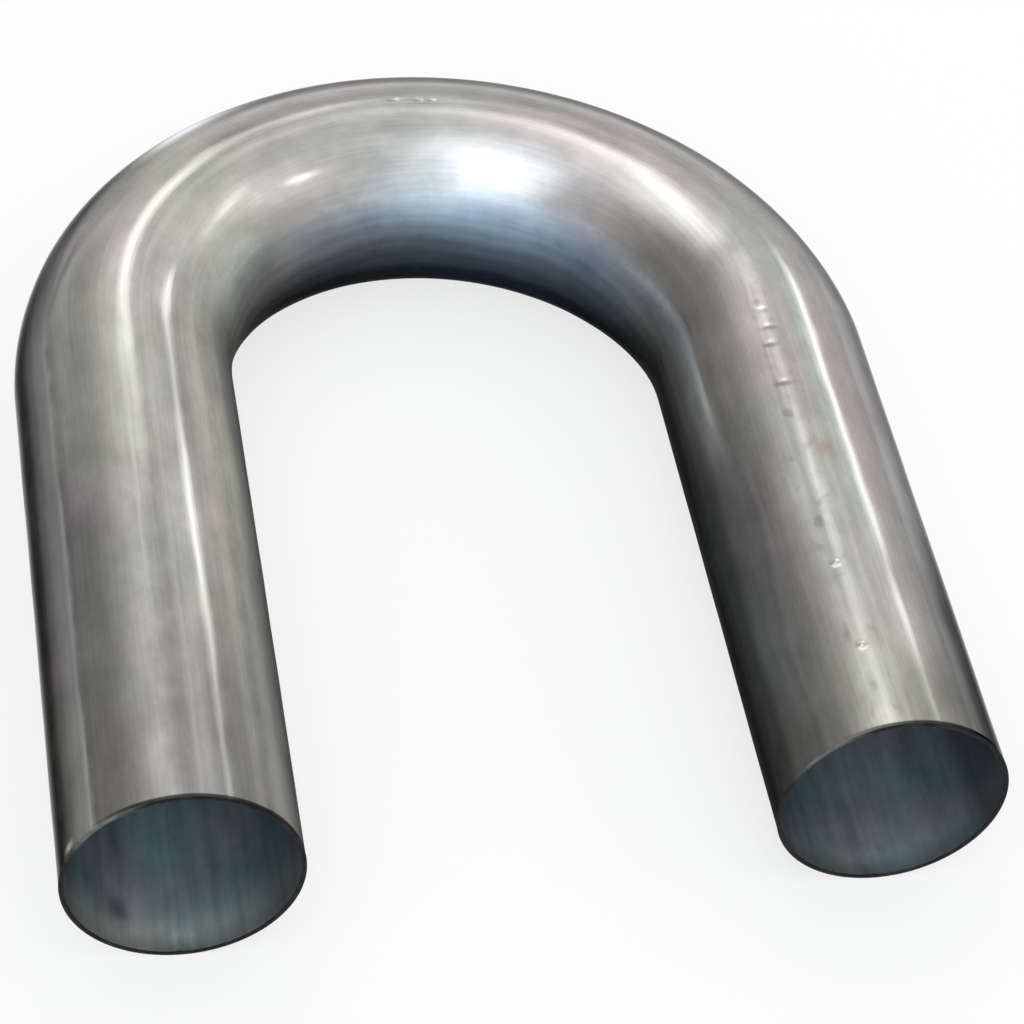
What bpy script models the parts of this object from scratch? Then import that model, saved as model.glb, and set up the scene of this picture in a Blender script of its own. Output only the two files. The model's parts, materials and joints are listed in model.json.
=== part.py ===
"""A 180 degree return bend: one round steel tube, bent over a mandrel, with square-cut open ends.

The tube lies flat. The bend curves towards +Y, and both open ends face -Y.
The origin is on the surface that the tube lies on, under the middle of its outline.
All sizes are in metres.
"""

import math

import bmesh
import bpy
from mathutils import Matrix, Vector

NAME = "return_bend"

# Tube section on the straight legs
TUBE_DIAMETER = 0.0762
WALL = 0.00165

# Centreline of the tube
BEND_RADIUS = 0.1143
BEND_ANGLE = math.radians(180.0)
LEFT_LEG = 0.2159
RIGHT_LEG = 0.2032

# What bending does to the section. The outer side stretches thin and the inner side gathers,
# and the section loses a little width in the plane of the bend.
OUTER_THINNING = 0.0003
INNER_THICKENING = 0.00035
BEND_FLATTENING = 0.0008
RUN_IN_ANGLE = math.radians(18.0)

# Seam weld inside the tube, underneath, where bending neither stretches nor gathers it
SEAM_ANGLE = math.radians(-90.0)
SEAM_WIDTH = 0.0032
SEAM_HEIGHT = 0.0004

# Chamfer left by deburring the cut ends
EDGE_BREAK = 0.00025

# Facets around the tube and along the bend
RING_FACETS = 48
BEND_STEPS = 40

TUBE_RADIUS = TUBE_DIAMETER / 2
THICKEST_WALL = WALL + INNER_THICKENING + SEAM_HEIGHT
BEND_AXIS = Vector((0.0, 0.0, -1.0))
FORWARD = Vector((0.0, 1.0, 0.0))
BEND_REACH = BEND_RADIUS + TUBE_RADIUS - BEND_FLATTENING / 2
CENTRE_SHIFT = (max(LEFT_LEG, RIGHT_LEG) - BEND_REACH) / 2


def clear_scene():
    for obj in list(bpy.data.objects):
        bpy.data.objects.remove(obj, do_unlink=True)


def steel():
    """Bare drawn steel, a warm satin grey."""
    material = bpy.data.materials.new("bare_steel")
    material.use_nodes = True
    shader = material.node_tree.nodes["Principled BSDF"]
    shader.inputs["Base Color"].default_value = (0.45, 0.43, 0.40, 1.0)
    shader.inputs["Metallic"].default_value = 1.0
    shader.inputs["Roughness"].default_value = 0.3
    return material


def ring_angles():
    """Angles around the section, from the outer side of the bend, over the top.

    Even facets start at the crest of the seam weld, which has two more points at its feet.
    """
    foot = SEAM_WIDTH / 2 / (TUBE_RADIUS - WALL)
    even = [math.tau * i / RING_FACETS for i in range(RING_FACETS)]
    return [SEAM_ANGLE + turn for turn in sorted([*even, foot, math.tau - foot])]


def add_ring(mesh):
    """The outline of the tube at the left leg's open end. Returns its edges."""
    around = mesh.verts.layers.float.new("around")
    centre = Vector((-BEND_RADIUS, -LEFT_LEG, 0.0))
    ring = []
    for angle in ring_angles():
        spoke = Vector((-math.cos(angle), 0.0, math.sin(angle)))
        point = mesh.verts.new(centre + TUBE_RADIUS * spoke)
        point[around] = angle
        ring.append(point)
    return [mesh.edges.new(pair) for pair in zip(ring, ring[1:] + ring[:1])]


def edges_of(geometry):
    return [item for item in geometry if isinstance(item, bmesh.types.BMEdge)]


def extrude_leg(mesh, edges, direction, length):
    """Carries an outline straight on. Returns the edges at its new end."""
    made = bmesh.ops.extrude_edge_only(mesh, edges=edges)["geom"]
    moved = [item for item in made if isinstance(item, bmesh.types.BMVert)]
    bmesh.ops.translate(mesh, verts=moved, vec=length * direction)
    return edges_of(made)


def sweep_bend(mesh, edges):
    """Carries an outline round the bend. Returns the edges at its new end."""
    swept = bmesh.ops.spin(
        mesh,
        geom=edges,
        cent=Vector(),
        axis=BEND_AXIS,
        angle=BEND_ANGLE,
        steps=BEND_STEPS,
    )
    return edges_of(swept["geom_last"])


def bend_share(point):
    """How fully bent the tube is at a point: 0 on the legs, 1 past the run-in of the bend."""
    travelled = math.atan2(point.y, -point.x) % math.tau
    depth = min(travelled, BEND_ANGLE - travelled) / RUN_IN_ANGLE
    depth = min(max(depth, 0.0), 1.0)
    return depth * depth * (3.0 - 2.0 * depth)


def wall_at(angle, share):
    """Wall thickness at an angle around the section, where the tube is bent by that share."""
    side = math.cos(angle)
    strain = INNER_THICKENING * max(-side, 0.0) - OUTER_THINNING * max(side, 0.0)
    from_seam = abs(math.remainder(angle - SEAM_ANGLE, math.tau)) * (TUBE_RADIUS - WALL)
    seam = SEAM_HEIGHT * max(1.0 - (2 * from_seam / SEAM_WIDTH) ** 2, 0.0)
    return WALL + strain * share + seam


def form_section(mesh):
    """Draws the bent stretch in, and stores the wall at each point as a share of the thickest."""
    around = mesh.verts.layers.float["around"]
    group = mesh.verts.layers.deform.verify()
    for vert in mesh.verts:
        share = bend_share(vert.co)
        vert[group][0] = wall_at(vert[around], share) / THICKEST_WALL
        drawn_in = share * BEND_FLATTENING / 2 * math.cos(vert[around])
        vert.co -= drawn_in * Vector((vert.co.x, vert.co.y, 0.0)).normalized()
    mesh.verts.layers.float.remove(around)


def tube_surface():
    """The tube's outer surface, open at both ends, with its centreline at height 0."""
    mesh = bmesh.new()
    end = extrude_leg(mesh, add_ring(mesh), FORWARD, LEFT_LEG)
    end = sweep_bend(mesh, end)
    extrude_leg(mesh, end, Matrix.Rotation(BEND_ANGLE, 3, BEND_AXIS) @ FORWARD, RIGHT_LEG)
    bmesh.ops.recalc_face_normals(mesh, faces=mesh.faces)
    form_section(mesh)
    data = bpy.data.meshes.new(NAME)
    mesh.to_mesh(data)
    mesh.free()
    data.shade_smooth()
    return data


def add_wall(tube):
    """Thickens the surface inwards, by the wall stored at each point."""
    solidify = tube.modifiers.new("Wall", "SOLIDIFY")
    solidify.thickness = THICKEST_WALL
    solidify.offset = -1.0
    solidify.vertex_group = tube.vertex_groups.new(name="wall").name


def deburr_ends(tube):
    """Chamfers the cut ends inside and out, and keeps their flat faces flat when shaded."""
    bevel = tube.modifiers.new("Deburred ends", "BEVEL")
    bevel.width = EDGE_BREAK
    bevel.segments = 1
    bevel.limit_method = "ANGLE"
    bevel.angle_limit = math.radians(60.0)
    tube.modifiers.new("Even shading", "WEIGHTED_NORMAL")


def build_tube(collection):
    tube = bpy.data.objects.new("bent_tube", tube_surface())
    collection.objects.link(tube)
    tube.location = (0.0, CENTRE_SHIFT, TUBE_RADIUS)
    tube.data.materials.append(steel())
    add_wall(tube)
    deburr_ends(tube)


def main():
    clear_scene()
    collection = bpy.data.collections.new(NAME)
    bpy.context.scene.collection.children.link(collection)
    build_tube(collection)


main()
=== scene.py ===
"""The looks of a bare steel return bend: its surface, studio, lights and camera.

All sizes are in metres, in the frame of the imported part. The tube's sizes come from that frame.
A place on the tube is given by two numbers. Along runs from the left mouth, round the bend, to
the right mouth. Around is the angle at the section, from the outer side of the bend (0) over the
top (90) to the inner side (180) and the underside (-90).
"""

import json
import math

import bpy
import numpy as np
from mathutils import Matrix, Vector, noise


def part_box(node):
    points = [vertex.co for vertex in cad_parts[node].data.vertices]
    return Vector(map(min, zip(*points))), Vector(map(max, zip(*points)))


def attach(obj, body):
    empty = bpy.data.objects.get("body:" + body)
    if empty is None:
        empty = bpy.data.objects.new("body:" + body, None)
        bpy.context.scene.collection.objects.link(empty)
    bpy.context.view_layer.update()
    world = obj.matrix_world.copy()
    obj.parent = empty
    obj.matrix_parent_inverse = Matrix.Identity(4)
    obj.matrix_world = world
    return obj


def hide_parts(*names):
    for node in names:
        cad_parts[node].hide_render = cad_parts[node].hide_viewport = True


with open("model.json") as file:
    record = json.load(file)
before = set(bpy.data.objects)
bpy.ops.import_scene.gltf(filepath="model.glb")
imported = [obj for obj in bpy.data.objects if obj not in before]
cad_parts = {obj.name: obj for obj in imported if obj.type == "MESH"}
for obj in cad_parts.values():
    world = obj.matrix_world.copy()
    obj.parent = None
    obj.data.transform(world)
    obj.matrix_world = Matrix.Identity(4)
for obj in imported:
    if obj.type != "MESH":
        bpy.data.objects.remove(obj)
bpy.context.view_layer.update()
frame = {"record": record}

# The tube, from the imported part
LOW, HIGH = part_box("bent_tube")
MOUTH_Y = {mount["name"]: mount["pos_m"][1] for mount in frame["record"]["mounts"]}
TUBE_RADIUS = HIGH.z / 2
BEND_RADIUS = HIGH.x - TUBE_RADIUS
BEND_FLATTENING = 0.0008
BEND_CENTRE_Y = HIGH.y - (BEND_RADIUS + TUBE_RADIUS - BEND_FLATTENING / 2)
LEFT_LEG = BEND_CENTRE_Y - MOUTH_Y["left_end"]
RIGHT_LEG = BEND_CENTRE_Y - MOUTH_Y["right_end"]
BEND_END = LEFT_LEG + math.pi * BEND_RADIUS
TUBE_LENGTH = BEND_END + RIGHT_LEG

# The wall, as in the part
WALL = 0.00165
OUTER_THINNING = 0.0003
INNER_THICKENING = 0.00035
RUN_IN = math.radians(18.0) * BEND_RADIUS
EDGE_ROUND = 0.00025
SEAM_ANGLE = math.radians(-90.0)
SEAM_WIDTH = 0.0032
SEAM_HEIGHT = 0.0004

# Painted shade: share of light kept, by degrees around the section
PAINTED_SHADE_INNER = [(146, 1.0), (156, 0.76), (163, 0.54), (170, 0.33), (180, 0.155), (192, 0.085), (205, 0.04)]
PAINTED_SHADE_RIGHT = [(130, 1.0), (140, 0.85), (150, 0.70), (160, 0.31), (170, 0.32), (180, 0.34)]
PAINTED_SHADE_RIGHT_LEG = [(120, 1.0), (126, 0.90), (132, 0.68), (138, 0.43), (146, 0.35), (156, 0.41),
                  (163, 0.57), (170, 0.74), (180, 0.88)]
PAINTED_SHADE_LEFT_LEG = [(124, 1.0), (138, 0.76), (150, 0.52), (165, 0.36)]
PAINTED_SHADE_LEFT_BEND = [(140, 1.0), (146, 0.88), (153, 0.70), (160, 0.60), (166, 0.66), (172, 0.85),
                  (178, 1.0)]
PAINTED_SHADE_LEFT_FLANK = [(-75, 1.0), (-35, 0.62), (-8, 0.25), (8, 0.12), (19, 0.38), (28, 0.57), (35, 0.69),
                   (40, 0.73), (45, 0.82), (50, 1.0)]
PAINTED_SHADE_LEFT_MOUTH = [(74, 1.0), (80, 0.85), (90, 0.55), (100, 0.85), (109, 0.48), (120, 0.60), (134, 0.9)]
PAINTED_SHADE_RIGHT_FLANK = [(36, 0.22), (45, 0.40), (52, 0.56), (62, 0.88), (75, 1.0)]
PAINTED_SHADE_RIGHT_MOUTH = [(50, 0.85), (60, 0.70), (70, 0.70), (80, 0.62), (88, 0.85), (96, 1.0)]
FLANK_SLIDE = -27.0
# A painted blue reflection on the inner side of the bend
PAINTED_BLUE_REFLECTION = (0.74, 0.96, 1.22)
# Painted light that brightens the crown's inner side
CROWN_PAINTED_LIGHT = 1.35

# Other shares by degrees around: the painted shade of the bore, the scuffed line and the painted shade
# outside each mouth
BORE_SHADE = [(-90, 0.87), (-72, 0.93), (-45, 0.64), (-15, 0.28), (10, 0.22), (190, 0.22), (210, 0.31),
              (235, 0.55), (255, 0.72), (270, 0.87)]
SCUFFED = [(92, 0.0), (98, 1.0), (107, 1.0), (113, 0.0)]
SCUFF_KEPT = 0.72
RIM_SHADE_LEFT = [(35, 0.0), (68, 1.0), (155, 1.0), (175, 0.5)]
RIM_SHADE_RIGHT = [(0, 0.6), (20, 1.0), (100, 1.0), (132, 0.0)]
RIM_SHADE_KEPT = 0.16

# Stains, painted highlights and painted shade: along, around in degrees, half length, half width in
# degrees, tint
RUST = (0.6533, 90.3, 0.0033, 3.6, (0.90, 0.76, 0.66))
# A lighter line and a darker line beside it, along the right leg
LIGHTER_AND_DARKER_LINES = [
    (0.6650, 100.0, 0.0750, 1.8, (1.22, 1.22, 1.20)),
    (0.6650, 104.3, 0.0700, 1.8, (0.72, 0.72, 0.72)),
]
# Painted highlights, a painted sheen and a painted glint on the left mouth's edge
PAINTED_HIGHLIGHTS = [
    (0.3190, 54.0, 0.0130, 5.5, (1.75, 1.80, 1.85)),
    (0.1860, 55.0, 0.0500, 9.0, (1.50, 1.50, 1.64)),
    (0.1650, 134.0, 0.0550, 11.0, (1.30, 1.24, 1.13)),
    (0.0023, 23.2, 0.0012, 3.0, (3.60, 3.60, 3.60)),
]
# Painted shade: spots darkened to dim the steel's reflections there
PAINTED_SHADE_SPOTS = [
    (0.1150, 89.0, 0.0450, 6.0, (0.72, 0.72, 0.72)),
    (0.1160, 50.0, 0.0180, 11.0, (0.82, 0.82, 0.82)),
    (0.2740, 45.0, 0.0200, 7.0, (0.62, 0.62, 0.62)),
    (0.3240, 88.0, 0.0180, 4.5, (0.62, 0.62, 0.62)),
    (0.1800, 111.0, 0.0260, 4.5, (0.56, 0.56, 0.56)),
    (0.7090, 77.0, 0.0090, 4.0, (0.70, 0.70, 0.70)),
]
TEAL_AND_PINK_EDGES = [
    (0.6250, 82.5, 0.0550, 4.0, (0.92, 1.06, 1.02)),
    (0.6350, 69.5, 0.0600, 4.5, (1.08, 0.96, 1.01)),
]
# Painted shade in the chatter dents
PAINTED_DENT_SHADE = [
    (0.5923, 99.5, 0.0008, 3.6, (0.60, 0.60, 0.58)),
    (0.6008, 102.0, 0.0008, 3.2, (0.58, 0.58, 0.56)),
    (0.6206, 101.1, 0.0009, 4.2, (0.56, 0.56, 0.54)),
]
STAINS_AND_PAINTED_LIGHT = [RUST, *PAINTED_HIGHLIGHTS, *PAINTED_SHADE_SPOTS, *LIGHTER_AND_DARKER_LINES, *TEAL_AND_PINK_EDGES, *PAINTED_DENT_SHADE]
BORE_STAINS = [
    (0.0143, -60.0, 0.0045, 5.0, (0.42, 0.44, 0.48)),
    (0.0440, -62.0, 0.0090, 4.0, (0.60, 0.60, 0.66)),
]

# A place where the steel mirrors light at a grazing angle more strongly
GLARE = (0.3190, 54.0)
GLARE_SIZE = (0.0150, 8.0)
EDGE_TINT = 0.27

# Colours of the steel, the bore's scale and the cut ends
STEEL_GREY = (0.545, 0.55, 0.55, 1.0)
STEEL_ROSE = (0.572, 0.54, 0.555, 1.0)
STEEL_OLIVE = (0.55, 0.558, 0.515, 1.0)
SLATE_TEAL = (0.28, 0.39, 0.42, 1.0)
SLATE_MAUVE = (0.37, 0.38, 0.43, 1.0)
SLATE_PALE = (0.52, 0.58, 0.54, 1.0)
# Painted shade: the cut ends' near black. Painted highlight: their paler colour high on one side
CUT_SHADE_BLACK = (0.008, 0.009, 0.012, 1.0)
CUT_SHADE_BROWN = (0.030, 0.025, 0.024, 1.0)
CUT_PAINTED_HIGHLIGHT = (0.30, 0.29, 0.28, 1.0)

# Depths of the finest relief
LINE_DEPTH = 0.000018
GRAIN_DEPTH = 0.000006
SCALE_DEPTH = 0.00005
CUT_DEPTH = 0.00008

# How close the points of the fine surface lie, and how much closer they lie at its marks
FACETS_AROUND = 184
OUTER_RINGS = 430
BORE_RINGS = 80
ROUND_STEPS = 3
MARK_CROWDING = 5.0
REACH_AROUND = math.radians(8.0)
REACH_ALONG = 0.006
SPREAD_STEPS = 20000

# Marks left by the bender and by knocks: along, around in degrees, length, width, height
CHATTER = [
    (0.5824, 101.0, 0.0010, 0.0022, 0.00008),
    (0.5912, 100.0, 0.0012, 0.0021, 0.00005),
    (0.5997, 102.0, 0.0012, 0.0022, 0.00005),
    (0.6196, 101.0, 0.0012, 0.0023, 0.00004),
]
PIMPLES = [
    (0.7064, 103.5, 0.0011, 0.0014, 0.00024),
    (0.7431, 103.0, 0.0011, 0.0013, 0.00026),
]
NICKS = [
    (0.3879, 89.8, 0.0019, 0.0009, -0.00018),
    (0.3974, 90.6, 0.0019, 0.0009, -0.00020),
    (0.4024, 90.6, 0.0014, 0.0009, -0.00018),
]
MARKS = CHATTER + PIMPLES + NICKS
WAVE_DEPTH = 0.00020
WAVE_LENGTH = 0.032
WAVE_WIDTH = 0.013
FINE_WAVES = 0.3
FINER = 2.3

# The camera, from the fit to the photo's outline. The image is square.
CAMERA_PLACE = (-0.20504, -0.84836, 0.86476)
CAMERA_TURN = (0.7906302, -0.1006666, -0.1617207)
CAMERA_LENS = 121.265
CAMERA_SENSOR = 36.0

# The studio
FLOOR_SIZE = 40.0
FLOOR_COLOUR = (0.95, 0.95, 0.95, 1.0)
FLOOR_GLOW = 0.75
PATCH_DEPTH = 4.0
WHITE = (1.0, 0.99, 0.96)
WARM = (1.0, 0.985, 0.93)
COOL = (0.90, 0.99, 1.06)
BLUE = (0.62, 0.88, 1.12)
SOFT, CRISP = 1.0, 1.6

# Patches of light: azimuth from +Y towards +X, elevation, lean of the length from straight up, half
# length and half width, all in degrees, then level, colour and edge
SHARED_PATCHES = [
    (-155, 55, 0, 31, 17, 1.70, COOL, SOFT),
    (-105, 30, 0, 24, 18, 0.22, WARM, SOFT),
    (-42, 62, 90, 18, 10, 0.75, WARM, SOFT),
    (78, 43, 90, 34, 13, 0.55, WARM, SOFT),
]
FRONT_PATCHES = [
    (-164, 10, 90, 38, 18, 0.90, BLUE, SOFT),
    (162, 36, 0, 12, 14, 0.38, BLUE, SOFT),
    (104, 48, 90, 4, 3, 1.2, WHITE, CRISP),
]
BACK_PATCHES = [
    (-12, 58, 90, 12, 5.5, 0.95, WHITE, CRISP),
    (8, 62, 0, 10, 6, 0.28, WARM, SOFT),
    (67, 43, 20, 5, 2.5, 0.9, WHITE, CRISP),
    (61, 35, 0, 3, 2, 0.5, WHITE, CRISP),
    (8, 5, 90, 30, 12, 0.50, WARM, SOFT),
    (8, 2, 90, 22, 6, 0.30, WARM, SOFT),
    (-10, 28, 0, 12, 8, 0.24, WARM, SOFT),
    (0, 37.5, 90, 11, 4.5, 0.33, WARM, SOFT),
    (3.2, 38.6, -20, 4.2, 3.9, 1.38, WHITE, CRISP),
    (-5, 44, -15, 2.6, 1.5, 0.55, WHITE, CRISP),
    (22, 47, 10, 9, 1.6, 0.22, WHITE, CRISP),
    (37.6, 28.6, 61, 5, 2.5, 1.6, WHITE, CRISP),
]


def smooth_step(low, high, value):
    share = np.clip((value - low) / (high - low), 0.0, 1.0)
    return share * share * (3.0 - 2.0 * share)


# The tube's form, as in the part


def bend_share(along):
    """How fully bent the tube is: 0 on the legs, 1 past the run-in of the bend."""
    return smooth_step(0.0, RUN_IN, np.minimum(along - LEFT_LEG, BEND_END - along))


def centreline(along):
    """Centres and outward directions, in plan, of places along the tube."""
    turn = np.clip((along - LEFT_LEG) / BEND_RADIUS, 0.0, math.pi)
    outward = np.stack([-np.cos(turn), np.sin(turn)], axis=-1)
    centre = outward * BEND_RADIUS
    past_bend = np.clip(LEFT_LEG - along, 0.0, None) + np.clip(along - BEND_END, 0.0, None)
    centre[..., 1] += BEND_CENTRE_Y - past_bend
    return centre, outward


def wall_at(along, around):
    side = np.cos(around)
    strain = INNER_THICKENING * np.clip(-side, 0.0, None) - OUTER_THINNING * np.clip(side, 0.0, None)
    turn = (around - SEAM_ANGLE + math.pi) % math.tau - math.pi
    from_seam = np.abs(turn) * (TUBE_RADIUS - WALL)
    seam = SEAM_HEIGHT * np.clip(1.0 - (2 * from_seam / SEAM_WIDTH) ** 2, 0.0, None)
    return WALL + strain * bend_share(along) + seam


def waves(along, around):
    """Shallow unevenness of the drawn wall, always inwards, from 0 to WAVE_DEPTH."""
    points = np.stack(
        [
            along / WAVE_LENGTH,
            TUBE_RADIUS * np.cos(around) / WAVE_WIDTH,
            TUBE_RADIUS * np.sin(around) / WAVE_WIDTH,
        ],
        axis=-1,
    )
    values = [
        noise.noise(Vector(point)) + FINE_WAVES * noise.noise(FINER * Vector(point))
        for point in points.reshape(-1, 3)
    ]
    return WAVE_DEPTH * np.clip(0.5 + 0.5 * np.array(values).reshape(along.shape), 0.0, 1.0)


def mark_heights(along, around):
    """Height of the marks over the outer surface, positive outwards."""
    height = np.zeros_like(along)
    for at, angle, length, width, rise in MARKS:
        across = (around - math.radians(angle)) * TUBE_RADIUS
        height += rise * np.exp(-(((along - at) / length) ** 2) - (across / width) ** 2)
    return height


# The tube's mesh


def spread(low, high, count, crowded, reach):
    """Rising values from low to high, closer together within reach of each crowded value."""
    fine = np.linspace(low, high, SPREAD_STEPS)
    nearest = np.min(np.abs(fine[:, None] - np.array(crowded)[None, :]), axis=1)
    density = 1.0 + MARK_CROWDING * (1.0 - smooth_step(reach / 2, reach, nearest))
    total = np.concatenate([[0.0], np.cumsum(0.5 * (density[1:] + density[:-1]))])
    return np.interp(np.linspace(0.0, total[-1], count), total, fine)


def rounded(steps):
    """Quarter turn of a rounded edge: shares of the radius, from beside the edge to the end face."""
    turns = [0.5 * math.pi * step / steps for step in range(steps + 1)]
    return [(1.0 - math.sin(turn), 1.0 - math.cos(turn)) for turn in turns]


def end_face(end, inwards, around):
    """Rings from the outer surface, round both edges of the cut end, to the bore: (along, depth)."""
    wall = wall_at(np.full_like(around, end), around)
    corner = rounded(ROUND_STEPS)
    flat = np.zeros_like(around)
    outer = [(end + inwards * EDGE_ROUND * back, flat + EDGE_ROUND * down) for back, down in corner]
    inner = [(end + inwards * EDGE_ROUND * back, wall - EDGE_ROUND * down) for back, down in corner]
    return outer[1:] + inner[::-1]


def tube_rings():
    """Rings of the closed surface as (along, depth under the outer surface, material)."""
    marked = [math.radians(mark[1]) for mark in MARKS]
    around = spread(-math.pi, math.pi, FACETS_AROUND + 1, [SEAM_ANGLE, *marked], REACH_AROUND)[:-1]
    first, last = EDGE_ROUND, TUBE_LENGTH - EDGE_ROUND
    rings = []
    outside = spread(first, last, OUTER_RINGS, [mark[0] for mark in MARKS], REACH_ALONG)
    for along in np.insert(outside, [1, -1], [first + EDGE_ROUND, last - EDGE_ROUND]):
        places = np.full_like(around, along)
        rings.append((along, waves(places, around) - mark_heights(places, around), 0))
    rings += [(along, depth, 2) for along, depth in end_face(TUBE_LENGTH, -1.0, around)]
    for along in np.linspace(last, first, BORE_RINGS):
        rings.append((along, wall_at(np.full_like(around, along), around), 1))
    rings += [(along, depth, 2) for along, depth in end_face(0.0, 1.0, around)[::-1]]
    return around, rings


def build_tube():
    around, rings = tube_rings()
    count = len(around)
    along = np.array([ring[0] for ring in rings])[:, None] * np.ones(count)
    depth = np.array([ring[1] for ring in rings])
    angle = np.ones(len(rings))[:, None] * around
    centre, outward = centreline(along)
    radius = TUBE_RADIUS - depth
    across = (radius - bend_share(along) * BEND_FLATTENING / 2) * np.cos(angle)
    plan = centre + outward * across[..., None]
    height = TUBE_RADIUS + radius * np.sin(angle)
    points = np.concatenate([plan, height[..., None]], axis=-1)

    here = np.arange(len(rings) * count).reshape(len(rings), count)
    beside = np.roll(here, -1, axis=1)
    quads = np.stack([here, np.roll(here, -1, axis=0), np.roll(beside, -1, axis=0), beside], axis=-1)
    mesh = bpy.data.meshes.new("steel_tube")
    mesh.from_pydata(points.reshape(-1, 3).tolist(), [], quads.reshape(-1, 4).tolist())
    material = [max(a[2], b[2]) for a, b in zip(rings, rings[1:] + rings[:1])]
    mesh.polygons.foreach_set("material_index", np.repeat(material, count))
    mesh.shade_smooth()

    straight = np.stack([along, radius * np.cos(angle), radius * np.sin(angle)], axis=-1)
    places = mesh.attributes.new("straight", "FLOAT_VECTOR", "POINT")
    places.data.foreach_set("vector", straight.astype(np.float32).ravel())
    mesh.validate()
    tube = bpy.data.objects.new("steel_tube", mesh)
    bpy.context.scene.collection.objects.link(tube)
    return tube


# Materials


class Nodes:
    """Short calls that add nodes to a material or the world, and link them."""

    def __init__(self, tree):
        self.tree = tree

    def add(self, kind, inputs=(), **settings):
        node = self.tree.nodes.new(kind)
        for name, value in settings.items():
            setattr(node, name, value)
        for name, value in dict(inputs).items():
            self.put(node.inputs[name], value)
        return node

    def put(self, socket, value):
        if isinstance(value, bpy.types.NodeSocket):
            self.tree.links.new(value, socket)
        else:
            socket.default_value = value

    def math(self, operation, *values):
        return self.add("ShaderNodeMath", enumerate(values), operation=operation).outputs["Value"]

    def scaled(self, vector, scale):
        node = self.add("ShaderNodeVectorMath", {0: vector, 1: scale}, operation="MULTIPLY")
        return node.outputs["Vector"]

    def noise(self, vector, scale, detail, roughness=0.55):
        """Noise of about 0 to 1. Scale is how often it repeats in a metre, along and around."""
        along, around = scale
        inputs = {
            "Vector": self.scaled(vector, (along, around, around)),
            "Scale": 1.0,
            "Detail": detail,
            "Roughness": roughness,
        }
        return self.add("ShaderNodeTexNoise", inputs).outputs["Fac"]

    def ease(self, value, low, high, start=0.0, end=1.0):
        """Goes smoothly from start to end as value goes from low to high."""
        inputs = {"Value": value, "From Min": low, "From Max": high, "To Min": start, "To Max": end}
        node = self.add("ShaderNodeMapRange", inputs, interpolation_type="SMOOTHSTEP")
        return node.outputs["Result"]

    def profile(self, value, stops):
        """A share that goes smoothly through the stops, each a value and the share there."""
        low, high = stops[0][0], stops[-1][0]
        node = self.add("ShaderNodeValToRGB", {"Fac": self.ease_straight(value, low, high)})
        ramp = node.color_ramp
        ramp.interpolation = "EASE"
        middle = [ramp.elements.new((at - low) / (high - low)) for at, share in stops[1:-1]]
        for element, (at, share) in zip([ramp.elements[0], *middle, ramp.elements[-1]], stops):
            element.color = (share, share, share, 1.0)
        return node.outputs["Color"]

    def ease_straight(self, value, low, high):
        node = self.add("ShaderNodeMapRange", {"Value": value, "From Min": low, "From Max": high})
        return node.outputs["Result"]

    def partly(self, share, value):
        """The value where share is 1, and 1 where share is 0."""
        return self.math("MULTIPLY_ADD", share, self.math("SUBTRACT", value, 1.0), 1.0)

    def mix(self, share, first, second, blend_type="MIX"):
        inputs = {0: share, 6: first, 7: second}
        node = self.add("ShaderNodeMix", inputs, data_type="RGBA", blend_type=blend_type)
        return node.outputs[2]

    def between(self, value, rise, fall):
        """1 between a smooth rise and a smooth fall, each given as the value there at 0 and at 1."""
        return self.math("MULTIPLY", self.ease(value, *rise), self.ease(value, *fall))

    def dot(self, first, second):
        node = self.add("ShaderNodeVectorMath", {0: first, 1: second}, operation="DOT_PRODUCT")
        return node.outputs["Value"]

    def bell(self, vector, centre, size):
        """1 at the centre, and half that at the half sizes, by a vector's first two parts."""
        scale = (1.0 / size[0], 1.0 / size[1], 0.0)
        shift = (-centre[0] / size[0], -centre[1] / size[1], 0.0)
        inputs = {0: vector, 1: scale, 2: shift}
        reach = self.add("ShaderNodeVectorMath", inputs, operation="MULTIPLY_ADD").outputs["Vector"]
        return self.math("POWER", 0.5, self.dot(reach, reach))

    def with_spots(self, colour, place, stains):
        for at, angle, length, width, tint in stains:
            spot = self.bell(place, (at, angle), (length, width))
            colour = self.mix(spot, colour, self.scaled(colour, tint))
        return colour

    def grey(self, value):
        node = self.add("ShaderNodeCombineColor", {0: value, 1: value, 2: value})
        return node.outputs["Color"]

    def bump(self, height, distance, normal=None):
        inputs = {"Height": height, "Distance": distance, "Strength": 1.0}
        if normal is not None:
            inputs["Normal"] = normal
        return self.add("ShaderNodeBump", inputs).outputs["Normal"]


def new_material(name):
    material = bpy.data.materials.new(name)
    material.use_nodes = True
    nodes = Nodes(material.node_tree)
    return material, nodes, material.node_tree.nodes["Principled BSDF"]


def tube_places(nodes):
    """The straightened tube's coordinates, as a vector and as its parts."""
    places = nodes.add("ShaderNodeAttribute", attribute_name="straight").outputs["Vector"]
    return places, nodes.add("ShaderNodeSeparateXYZ", {"Vector": places}).outputs


def around_in_degrees(nodes, parts):
    """Around, from -90 to 270."""
    angle = nodes.math("DEGREES", nodes.math("ARCTAN2", parts["Z"], parts["Y"]))
    return nodes.math("WRAP", angle, 270.0, -90.0)


def inwards_from_mouth(nodes, along):
    return nodes.math("MINIMUM", along, nodes.math("SUBTRACT", TUBE_LENGTH, along))


def on_right_leg(nodes, along):
    return nodes.math("GREATER_THAN", along, TUBE_LENGTH / 2)


def drawn_tint(nodes, places, clouds):
    """Faint tints that change over a few centimetres."""
    drift = nodes.noise(places, (11.0, 19.0), detail=2.0)
    tint = nodes.mix(nodes.ease(clouds, 0.36, 0.64), STEEL_GREY, STEEL_ROSE)
    return nodes.mix(nodes.ease(drift, 0.46, 0.66), tint, STEEL_OLIVE)


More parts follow.
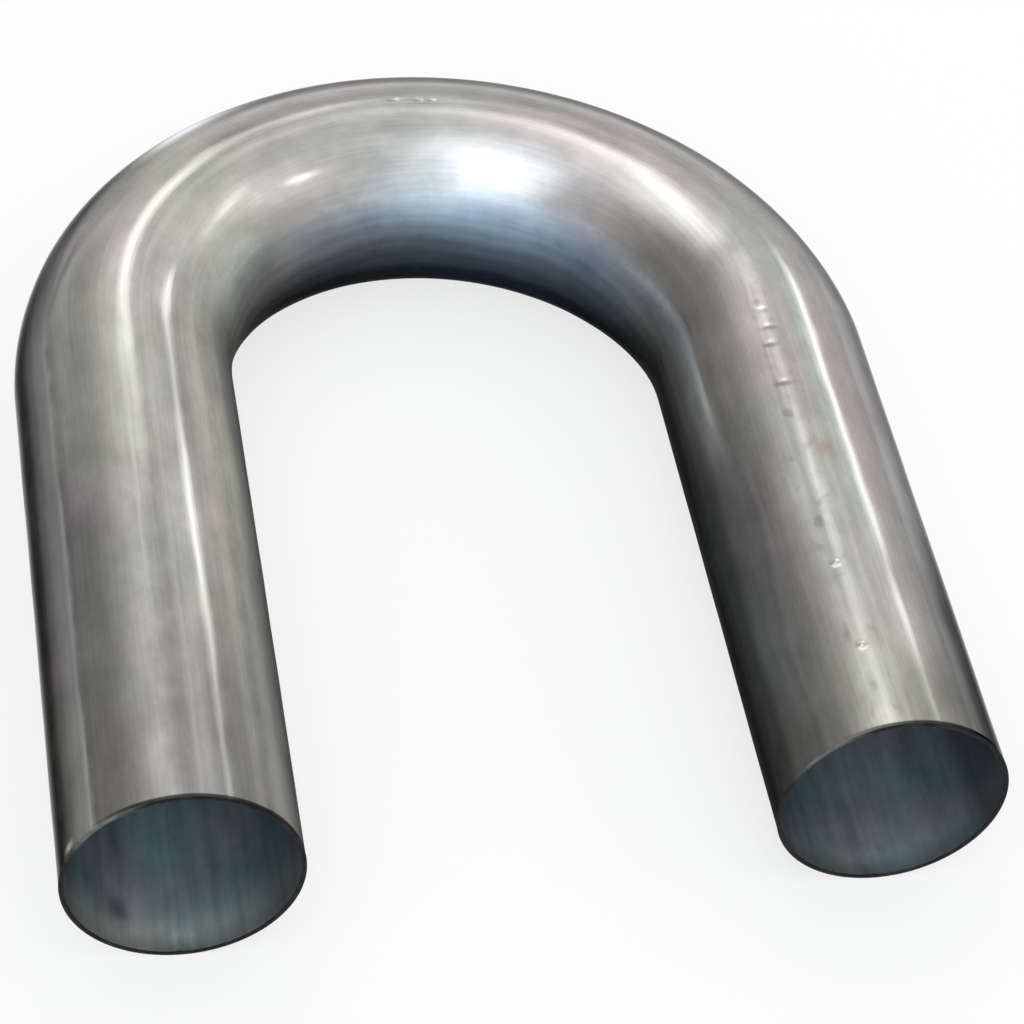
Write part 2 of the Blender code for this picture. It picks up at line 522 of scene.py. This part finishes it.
def drawn_tone(nodes, places, grain, mottle):
    """Light and dark of the bare drawn steel: grain and bands along it, and mottle."""
    bands = nodes.noise(places, (6.0, 110.0), detail=1.0)
    value = nodes.math("MULTIPLY_ADD", grain, 0.28, 0.86)
    value = nodes.math("MULTIPLY", value, nodes.math("MULTIPLY_ADD", bands, 0.26, 0.87))
    return nodes.math("MULTIPLY", value, nodes.math("MULTIPLY_ADD", mottle, 0.60, 0.70))


def painted_shade_and_light(nodes, value, along, around, place):
    """Darkens the value by painted shade, and brightens the crown's inner side by painted light. Place is
    around, shifted a little by clouds.
    """
    left_bend = nodes.between(
        along, (LEFT_LEG + 0.015, LEFT_LEG + 0.045), (LEFT_LEG + 0.105, LEFT_LEG + 0.075)
    )
    left_side = nodes.ease(along, LEFT_LEG + 0.17, LEFT_LEG + 0.05)
    shades = [
        (1.0, place, PAINTED_SHADE_INNER),
        (nodes.ease(along, BEND_END - 0.11, BEND_END), place, PAINTED_SHADE_RIGHT),
        (right_share(nodes, along), place, PAINTED_SHADE_RIGHT_LEG),
        (nodes.ease(along, LEFT_LEG + 0.045, LEFT_LEG + 0.015), place, PAINTED_SHADE_LEFT_LEG),
        (left_bend, place, PAINTED_SHADE_LEFT_BEND),
        (left_side, around, PAINTED_SHADE_LEFT_FLANK),
        (nodes.ease(along, 0.12, 0.03), around, PAINTED_SHADE_LEFT_MOUTH),
        (nodes.ease(along, TUBE_LENGTH - 0.12, TUBE_LENGTH - 0.05), around, PAINTED_SHADE_RIGHT_FLANK),
        (nodes.ease(along, TUBE_LENGTH - 0.04, TUBE_LENGTH - 0.02), around, PAINTED_SHADE_RIGHT_MOUTH),
    ]
    for share, at, stops in shades:
        value = nodes.math("MULTIPLY", value, nodes.partly(share, nodes.profile(at, stops)))

    # Painted shade on the outer flank, under the line where it starts to mirror the floor
    slide = nodes.ease_straight(along, LEFT_LEG, LEFT_LEG + 0.06)
    slid = nodes.math("MULTIPLY_ADD", slide, FLANK_SLIDE, around)
    flank = nodes.math("MULTIPLY", nodes.between(slid, (-70.0, -30.0), (45.0, 39.0)), left_side)
    kept = nodes.ease(along, LEFT_LEG + 0.025, LEFT_LEG + 0.05, 0.55, 0.78)
    value = nodes.math("MULTIPLY", value, nodes.partly(flank, kept))

    # Painted light on the crown's inner side
    crown = nodes.between(along, (LEFT_LEG + 0.13, LEFT_LEG + 0.18), (BEND_END - 0.08, BEND_END - 0.12))
    crown = nodes.math("MULTIPLY", crown, nodes.ease(place, 143.0, 162.0))
    return nodes.math("MULTIPLY", value, nodes.partly(crown, CROWN_PAINTED_LIGHT))


def right_share(nodes, along):
    """1 on the right leg, past its start."""
    return nodes.ease(along, BEND_END + 0.035, BEND_END + 0.08)


def specks_and_rim_shade(nodes, value, places, along, around):
    """Adds the specks of the scuffed line on the right leg, and painted shade in a band just outside the
    mouths.
    """
    specks = nodes.ease(nodes.noise(places, (150.0, 230.0), detail=0.0), 0.58, 0.80)
    specks = nodes.math("MULTIPLY", specks, nodes.ease(along, BEND_END - 0.04, BEND_END))
    specks = nodes.math("MULTIPLY", specks, nodes.profile(around, SCUFFED))
    value = nodes.math("MULTIPLY", value, nodes.partly(specks, SCUFF_KEPT))
    # Painted shade in a band just outside each mouth's cut edge
    rim_shade = nodes.ease(inwards_from_mouth(nodes, along), 0.0019, 0.0011)
    left, right = nodes.profile(around, RIM_SHADE_LEFT), nodes.profile(around, RIM_SHADE_RIGHT)
    rim_shade = nodes.math("MULTIPLY", rim_shade, nodes.mix(on_right_leg(nodes, along), left, right))
    return nodes.math("MULTIPLY", value, nodes.partly(rim_shade, RIM_SHADE_KEPT))


def dull_share(nodes, places, along, place):
    """Dull scale on the inner side, broken up as finely as a grit, so that it has no edge."""
    left = nodes.ease(along, LEFT_LEG + 0.09, LEFT_LEG + 0.07)
    right = nodes.math("MULTIPLY", right_share(nodes, along), 14.0)
    shift = nodes.math("MULTIPLY_ADD", left, 18.0, right)
    dull = nodes.ease(nodes.math("ADD", place, shift), 138.0, 162.0)
    grit = nodes.add("ShaderNodeTexWhiteNoise", {"Vector": places}).outputs["Value"]
    return nodes.math("MULTIPLY", dull, nodes.math("MULTIPLY_ADD", grit, 0.8, 0.6))


def steel_outside():
    """Drawn steel: lengthwise grain, faint tints, painted shade on the inner side and flanks, and painted
    highlights.
    """
    material, nodes, shader = new_material("drawn_steel")
    places, parts = tube_places(nodes)
    along, around = parts["X"], around_in_degrees(nodes, parts)
    grain = nodes.noise(places, (28.0, 900.0), detail=2.0)
    lines = nodes.noise(places, (11.0, 300.0), detail=2.0)
    mottle = nodes.noise(places, (50.0, 80.0), detail=4.0, roughness=0.62)
    clouds = nodes.noise(places, (14.0, 30.0), detail=2.0)
    place = nodes.math("ADD", around, nodes.math("MULTIPLY_ADD", clouds, 14.0, -7.0))

    value = drawn_tone(nodes, places, grain, mottle)
    # Painted shade on the inner side and flanks, and painted light on the crown
    value = painted_shade_and_light(nodes, value, along, around, place)
    value = specks_and_rim_shade(nodes, value, places, along, around)
    colour = nodes.mix(1.0, drawn_tint(nodes, places, clouds), nodes.grey(value), "MULTIPLY")
    # Painted blue reflection on the inner side of the bend
    blue = nodes.between(along, (LEFT_LEG + 0.08, LEFT_LEG + 0.19), (BEND_END - 0.01, BEND_END - 0.09))
    blue = nodes.math("MULTIPLY", blue, nodes.ease(place, 140.0, 168.0))
    colour = nodes.mix(blue, colour, nodes.scaled(colour, PAINTED_BLUE_REFLECTION))
    spot = nodes.add("ShaderNodeCombineXYZ", {"X": along, "Y": around}).outputs["Vector"]
    nodes.put(shader.inputs["Base Color"], nodes.with_spots(colour, spot, STAINS_AND_PAINTED_LIGHT))

    dull = dull_share(nodes, places, along, place)
    roughness = nodes.math("MULTIPLY", lines, 0.10)
    roughness = nodes.math("ADD", roughness, nodes.math("MULTIPLY_ADD", mottle, 0.20, -0.01))
    nodes.put(shader.inputs["Roughness"], nodes.math("MULTIPLY_ADD", dull, 0.24, roughness))
    nodes.put(shader.inputs["Metallic"], nodes.math("MULTIPLY_ADD", dull, -0.6, 1.0))
    normal = nodes.bump(grain, GRAIN_DEPTH, nodes.bump(lines, LINE_DEPTH))
    nodes.put(shader.inputs["Normal"], normal)
    shader.inputs["Specular IOR Level"].default_value = 0.0
    glare = nodes.bell(spot, GLARE, GLARE_SIZE)
    edge = nodes.math("MULTIPLY_ADD", glare, 1.0 - EDGE_TINT, EDGE_TINT)
    nodes.put(shader.inputs["Specular Tint"], nodes.grey(edge))
    return material


def steel_inside():
    """The bore: dark slate mill scale, with painted shade that darkens the sides and painted light that
    makes it paler just inside the left mouth.
    """
    material, nodes, shader = new_material("bore_scale")
    places, parts = tube_places(nodes)
    along, around = parts["X"], around_in_degrees(nodes, parts)
    streaks = nodes.noise(places, (14.0, 210.0), detail=3.0, roughness=0.6)
    mottle = nodes.noise(places, (110.0, 130.0), detail=4.0, roughness=0.65)
    patches = nodes.noise(places, (26.0, 34.0), detail=3.0)
    tint = nodes.mix(nodes.ease(patches, 0.40, 0.62), SLATE_TEAL, SLATE_MAUVE)
    depth = inwards_from_mouth(nodes, along)
    on_right = on_right_leg(nodes, along)
    # Painted light: paler just inside the mouths, most inside the left one
    painted_mouth_light = nodes.math("MULTIPLY", nodes.ease(depth, 0.024, 0.0), nodes.partly(on_right, 0.35))
    tint = nodes.mix(painted_mouth_light, tint, SLATE_PALE)
    value = nodes.math("MULTIPLY_ADD", streaks, 0.90, 0.55)
    value = nodes.math("MULTIPLY", value, nodes.math("MULTIPLY_ADD", on_right, -0.18, 1.12))
    value = nodes.math("MULTIPLY", value, nodes.math("MULTIPLY_ADD", mottle, 0.70, 0.65))
    value = nodes.math("MULTIPLY", value, nodes.ease(depth, 0.015, 0.060, 1.0, 1.45))
    # Painted shade by the side of the bore
    value = nodes.math("MULTIPLY", value, nodes.profile(around, BORE_SHADE))
    colour = nodes.mix(1.0, tint, nodes.grey(value), "MULTIPLY")
    spot = nodes.add("ShaderNodeCombineXYZ", {"X": along, "Y": around}).outputs["Vector"]
    colour = nodes.with_spots(colour, spot, BORE_STAINS)
    nodes.put(shader.inputs["Base Color"], colour)
    nodes.put(shader.inputs["Roughness"], nodes.math("MULTIPLY_ADD", mottle, 0.25, 0.38))
    nodes.put(shader.inputs["Normal"], nodes.bump(mottle, SCALE_DEPTH))
    shader.inputs["Metallic"].default_value = 0.4
    return material


def steel_cut():
    """The cut ends: almost black, which is painted shade, and paler high on the side that faces -X, which
    is a painted highlight.
    """
    material, nodes, shader = new_material("cut_edge")
    places, parts = tube_places(nodes)
    stain = nodes.noise(places, (300.0, 220.0), detail=4.0)
    colour = nodes.mix(nodes.ease(stain, 0.4, 0.7), CUT_SHADE_BLACK, CUT_SHADE_BROWN)
    side = nodes.math("MULTIPLY_ADD", on_right_leg(nodes, parts["X"]), -2.0, 1.0)
    leftwards_and_up = nodes.math("MULTIPLY_ADD", parts["Y"], side, parts["Z"])
    # Painted highlight high on the side that faces -X
    lit_edge = nodes.ease(leftwards_and_up, 1.22 * TUBE_RADIUS, 1.42 * TUBE_RADIUS)
    colour = nodes.mix(nodes.math("MULTIPLY", lit_edge, stain), colour, CUT_PAINTED_HIGHLIGHT)
    nodes.put(shader.inputs["Base Color"], colour)
    nodes.put(shader.inputs["Roughness"], nodes.math("MULTIPLY_ADD", stain, 0.3, 0.35))
    nodes.put(shader.inputs["Normal"], nodes.bump(stain, CUT_DEPTH))
    shader.inputs["Metallic"].default_value = 0.5
    shader.inputs["Specular IOR Level"].default_value = 0.15
    return material


# Studio


def add_floor():
    """A pale floor, part of whose white comes from Light Path, so that shadows stay light."""
    bpy.ops.mesh.primitive_plane_add(size=FLOOR_SIZE)
    floor = bpy.context.object
    floor.name = "studio_floor"
    material, nodes, shader = new_material("pale_floor")
    shader.inputs["Base Color"].default_value = FLOOR_COLOUR
    shader.inputs["Roughness"].default_value = 0.9
    shader.inputs["Specular IOR Level"].default_value = 0.0
    rays = nodes.add("ShaderNodeLightPath").outputs
    seen = nodes.math("MAXIMUM", rays["Is Camera Ray"], rays["Is Glossy Ray"])
    seen = nodes.math("MAXIMUM", seen, rays["Is Transmission Ray"])
    white = nodes.add("ShaderNodeEmission", {"Color": (1.0, 1.0, 1.0, 1.0), "Strength": 1.0})
    share = nodes.math("MULTIPLY", seen, FLOOR_GLOW)
    both = nodes.add(
        "ShaderNodeMixShader",
        {0: share, 1: shader.outputs["BSDF"], 2: white.outputs["Emission"]},
    )
    output = material.node_tree.nodes["Material Output"]
    nodes.put(output.inputs["Surface"], both.outputs["Shader"])
    floor.data.materials.append(material)


def half_size(degrees):
    """A patch's half size in directions of length 1, where its bell shape is to be half as bright."""
    angle = math.radians(degrees)
    return math.sin(angle) / math.sqrt(1.0 - (PATCH_DEPTH * (1.0 - math.cos(angle))) ** 2)


class Sky:
    """Sums soft patches of light over the world's directions."""

    def __init__(self, nodes, towards, total=(0.0, 0.0, 0.0)):
        self.nodes = nodes
        self.towards = towards
        self.total = total

    def add(self, share, level, colour):
        light = tuple(level * part for part in colour)
        inputs = {0: share, 1: light, 2: self.total}
        node = self.nodes.add("ShaderNodeVectorMath", inputs, operation="MULTIPLY_ADD")
        self.total = node.outputs["Vector"]

    def patch(self, azimuth, elevation, lean, length, width, level, colour, edge):
        turn, rise, lean = map(math.radians, (azimuth, elevation, lean))
        flat = Vector((math.sin(turn), math.cos(turn), 0.0))
        up = Vector((0.0, 0.0, 1.0))
        centre = math.cos(rise) * flat + math.sin(rise) * up
        upwards = math.cos(rise) * up - math.sin(rise) * flat
        sideways = centre.cross(upwards)
        lengthwise = math.cos(lean) * upwards + math.sin(lean) * sideways
        widthwise = centre.cross(lengthwise)
        along = self.nodes.dot(self.towards, lengthwise / half_size(length))
        across = self.nodes.dot(self.towards, widthwise / half_size(width))
        depth = self.nodes.dot(self.towards, centre * PATCH_DEPTH)
        depth = self.nodes.math("SUBTRACT", depth, PATCH_DEPTH)
        apart = self.nodes.math("MULTIPLY", depth, depth)
        apart = self.nodes.math("MULTIPLY_ADD", along, along, apart)
        apart = self.nodes.math("MULTIPLY_ADD", across, across, apart)
        if edge != SOFT:
            apart = self.nodes.math("POWER", apart, edge)
        self.add(self.nodes.math("POWER", 0.5, apart), level, colour)

    def background(self):
        return self.nodes.add("ShaderNodeBackground", {"Color": self.total}).outputs["Background"]


def add_world():
    """A soft room: dim low on the left, with a cool overhead bank and two strips behind.

    Each half of the room works out only its own patches, which is quicker.
    """
    world = bpy.data.worlds.new("studio")
    bpy.context.scene.world = world
    world.use_nodes = True
    world.cycles.sampling_method = "NONE"
    nodes = Nodes(world.node_tree)
    towards = nodes.add("ShaderNodeTexCoord").outputs["Generated"]
    parts = nodes.add("ShaderNodeSeparateXYZ", {"Vector": towards}).outputs

    shared = Sky(nodes, towards)
    shared.add(nodes.ease(parts["X"], -0.72, -0.05, 0.24, 0.55), 1.0, WARM)
    shared.add(nodes.ease(parts["Z"], 0.30, 1.0), 0.12, WARM)
    for patch in SHARED_PATCHES:
        shared.patch(*patch)
    front, back = Sky(nodes, towards, shared.total), Sky(nodes, towards, shared.total)
    for patch in FRONT_PATCHES:
        front.patch(*patch)
    for patch in BACK_PATCHES:
        back.patch(*patch)

    behind = nodes.math("GREATER_THAN", parts["Y"], 0.0)
    room = nodes.add("ShaderNodeMixShader", {0: behind, 1: front.background(), 2: back.background()})
    nodes.put(world.node_tree.nodes["World Output"].inputs["Surface"], room.outputs["Shader"])


def add_camera():
    data = bpy.data.cameras.new("camera")
    data.sensor_width = CAMERA_SENSOR
    data.lens = CAMERA_LENS
    camera = bpy.data.objects.new("camera", data)
    camera.location = CAMERA_PLACE
    camera.rotation_euler = CAMERA_TURN
    bpy.context.scene.collection.objects.link(camera)
    bpy.context.scene.camera = camera


add_camera()
tube = build_tube()
for material in (steel_outside(), steel_inside(), steel_cut()):
    tube.data.materials.append(material)
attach(tube, "root")
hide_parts("bent_tube")
add_floor()
add_world()
bpy.context.scene.view_settings.view_transform = "Standard"
